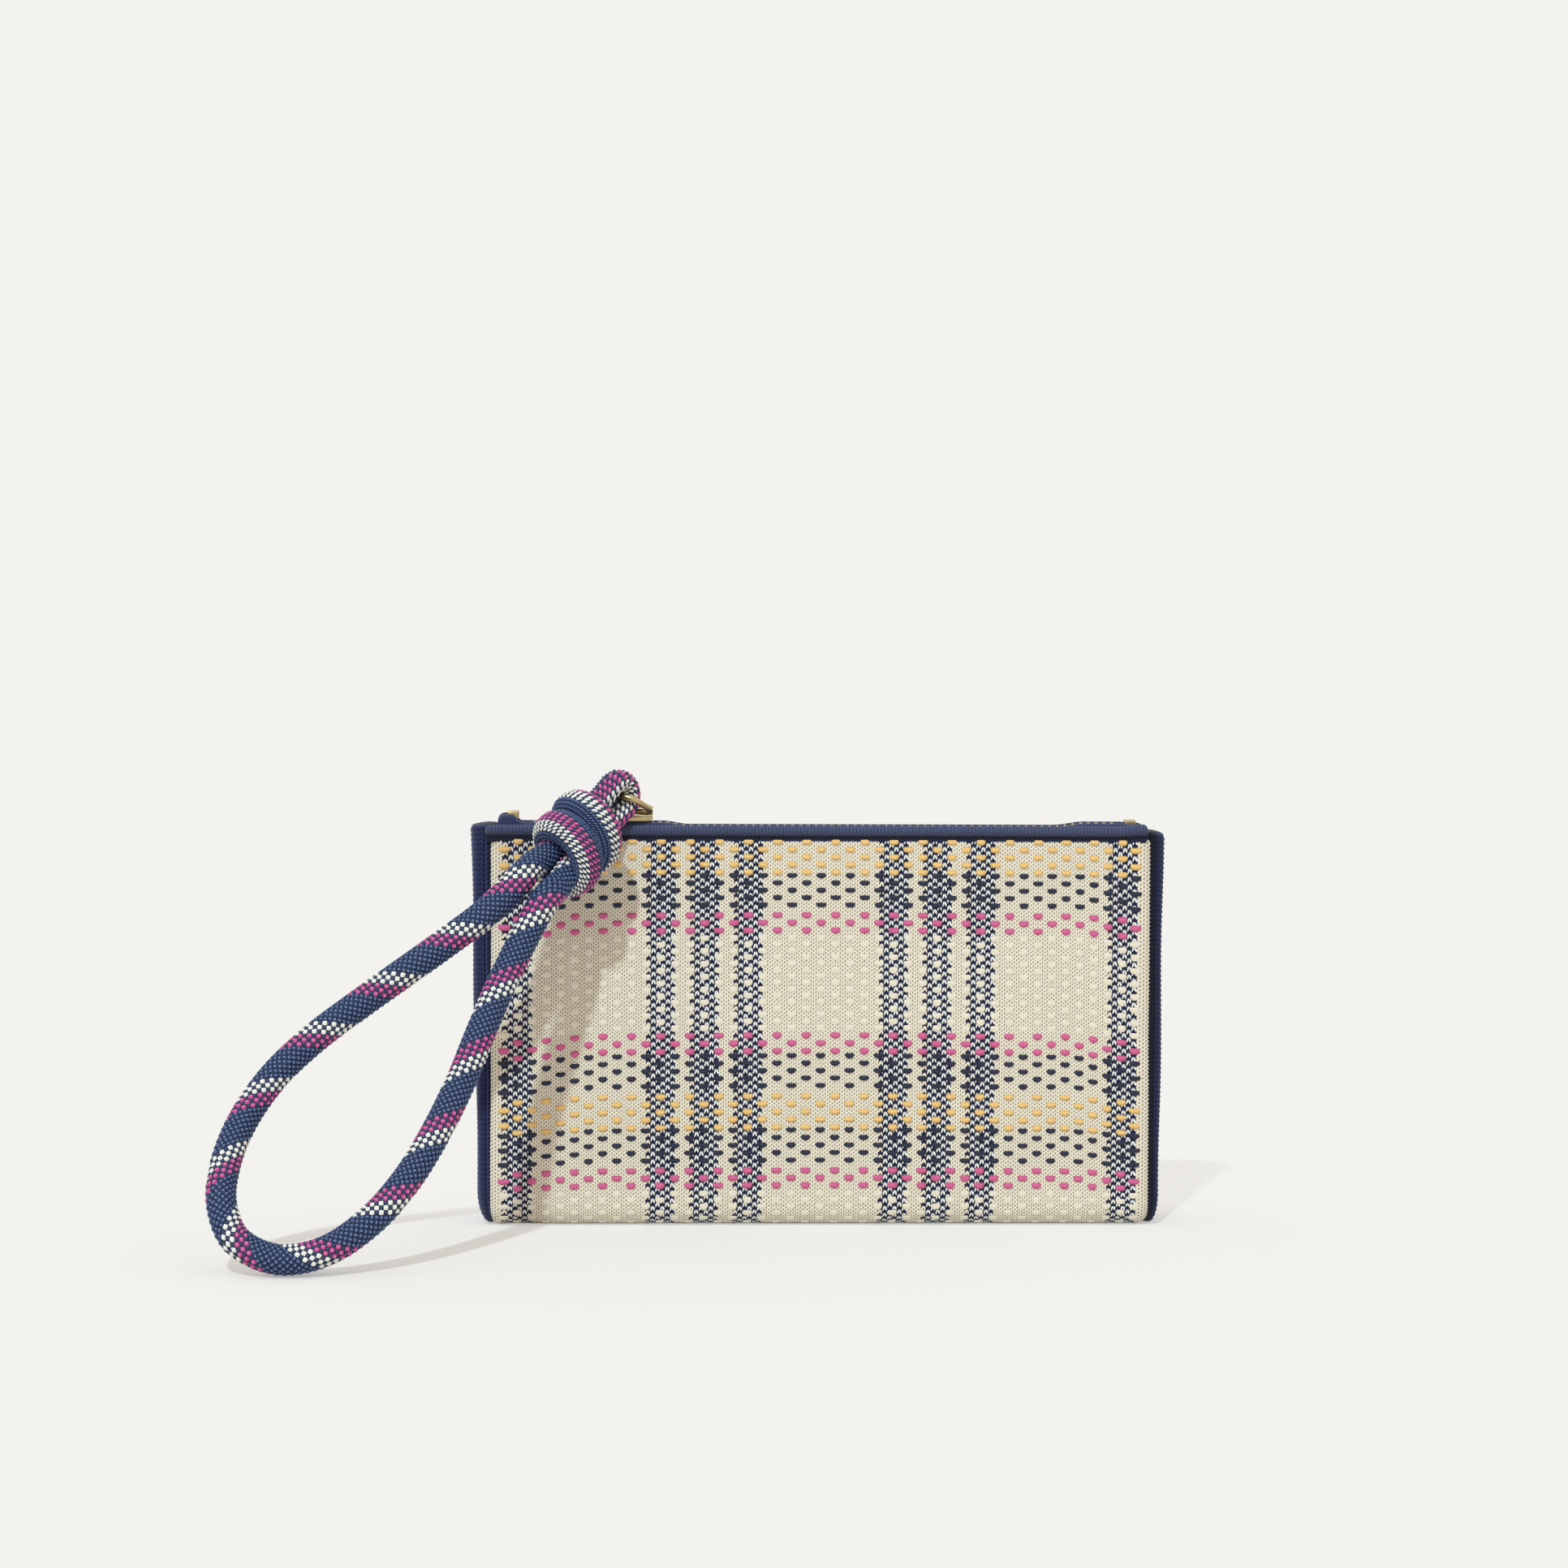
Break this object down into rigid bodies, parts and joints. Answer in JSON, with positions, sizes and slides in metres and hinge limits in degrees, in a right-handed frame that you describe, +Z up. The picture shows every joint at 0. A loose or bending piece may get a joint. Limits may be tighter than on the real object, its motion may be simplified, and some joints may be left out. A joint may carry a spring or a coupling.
{
  "type": "zip wristlet",
  "caption": "Flat knitted zip pouch on a narrow base, with a rolled rim, side gussets, a metal zip and a knotted rope wrist loop on its pull ring.",
  "frame": {"origin": "on the floor under the middle of the pouch, the strap left out", "axes": "+X along the zip to the right, +Y to the back, +Z up"},
  "size_m": [0.2849, 0.1116, 0.1369],
  "materials": {
    "plaid_knit": "matte knit with a woven-in check",
    "navy_knit": "matte rib knit",
    "felt": "matte felt interlining",
    "lining": "plain woven lining",
    "zip_tape": "herringbone tape",
    "brass": "satin brass",
    "rope": "braided sleeve with pale and pink spirals"
  },
  "bodies": {
    "pouch": {"front_panel": "plaid_knit", "back_panel": "plaid_knit", "base_panel": "plaid_knit", "front_stiffener": "felt", "back_stiffener": "felt", "front_rim": "navy_knit", "back_rim": "navy_knit", "left_gusset": "navy_knit", "right_gusset": "navy_knit", "lining": "lining", "front_zip_tape": "zip_tape", "back_zip_tape": "zip_tape", "front_zip_teeth": "brass", "back_zip_teeth": "brass", "front_top_stop": "brass", "back_top_stop": "brass", "bottom_stop": "brass"},
    "slider": {"slider_body": "brass", "slider_bridge": "brass"},
    "ring": {"pull_ring": "brass"},
    "strap": {"strap_top_bight": "rope", "strap_knot_wraps": "rope", "strap_knot_core": "rope", "strap_wrist_loop": "rope"}
  },
  "joints": [
    {"name": "zip_slide", "type": "slide", "parent": "pouch", "child": "slider", "axis": [1, 0, 0], "range_m": [-0.0295, 0.1415]},
    {"name": "ring_swing", "type": "hinge", "parent": "slider", "child": "ring", "pos_m": [-0.0547, 0, 0.1237], "axis": [-0.766, 0.6428, 0], "range_deg": [0, 110]},
    {"name": "strap_swing", "type": "hinge", "parent": "ring", "child": "strap", "pos_m": [-0.06157, -0.00819, 0.12915], "axis": [-0.766, 0.6428, 0], "range_deg": [0, 90]}
  ]
}
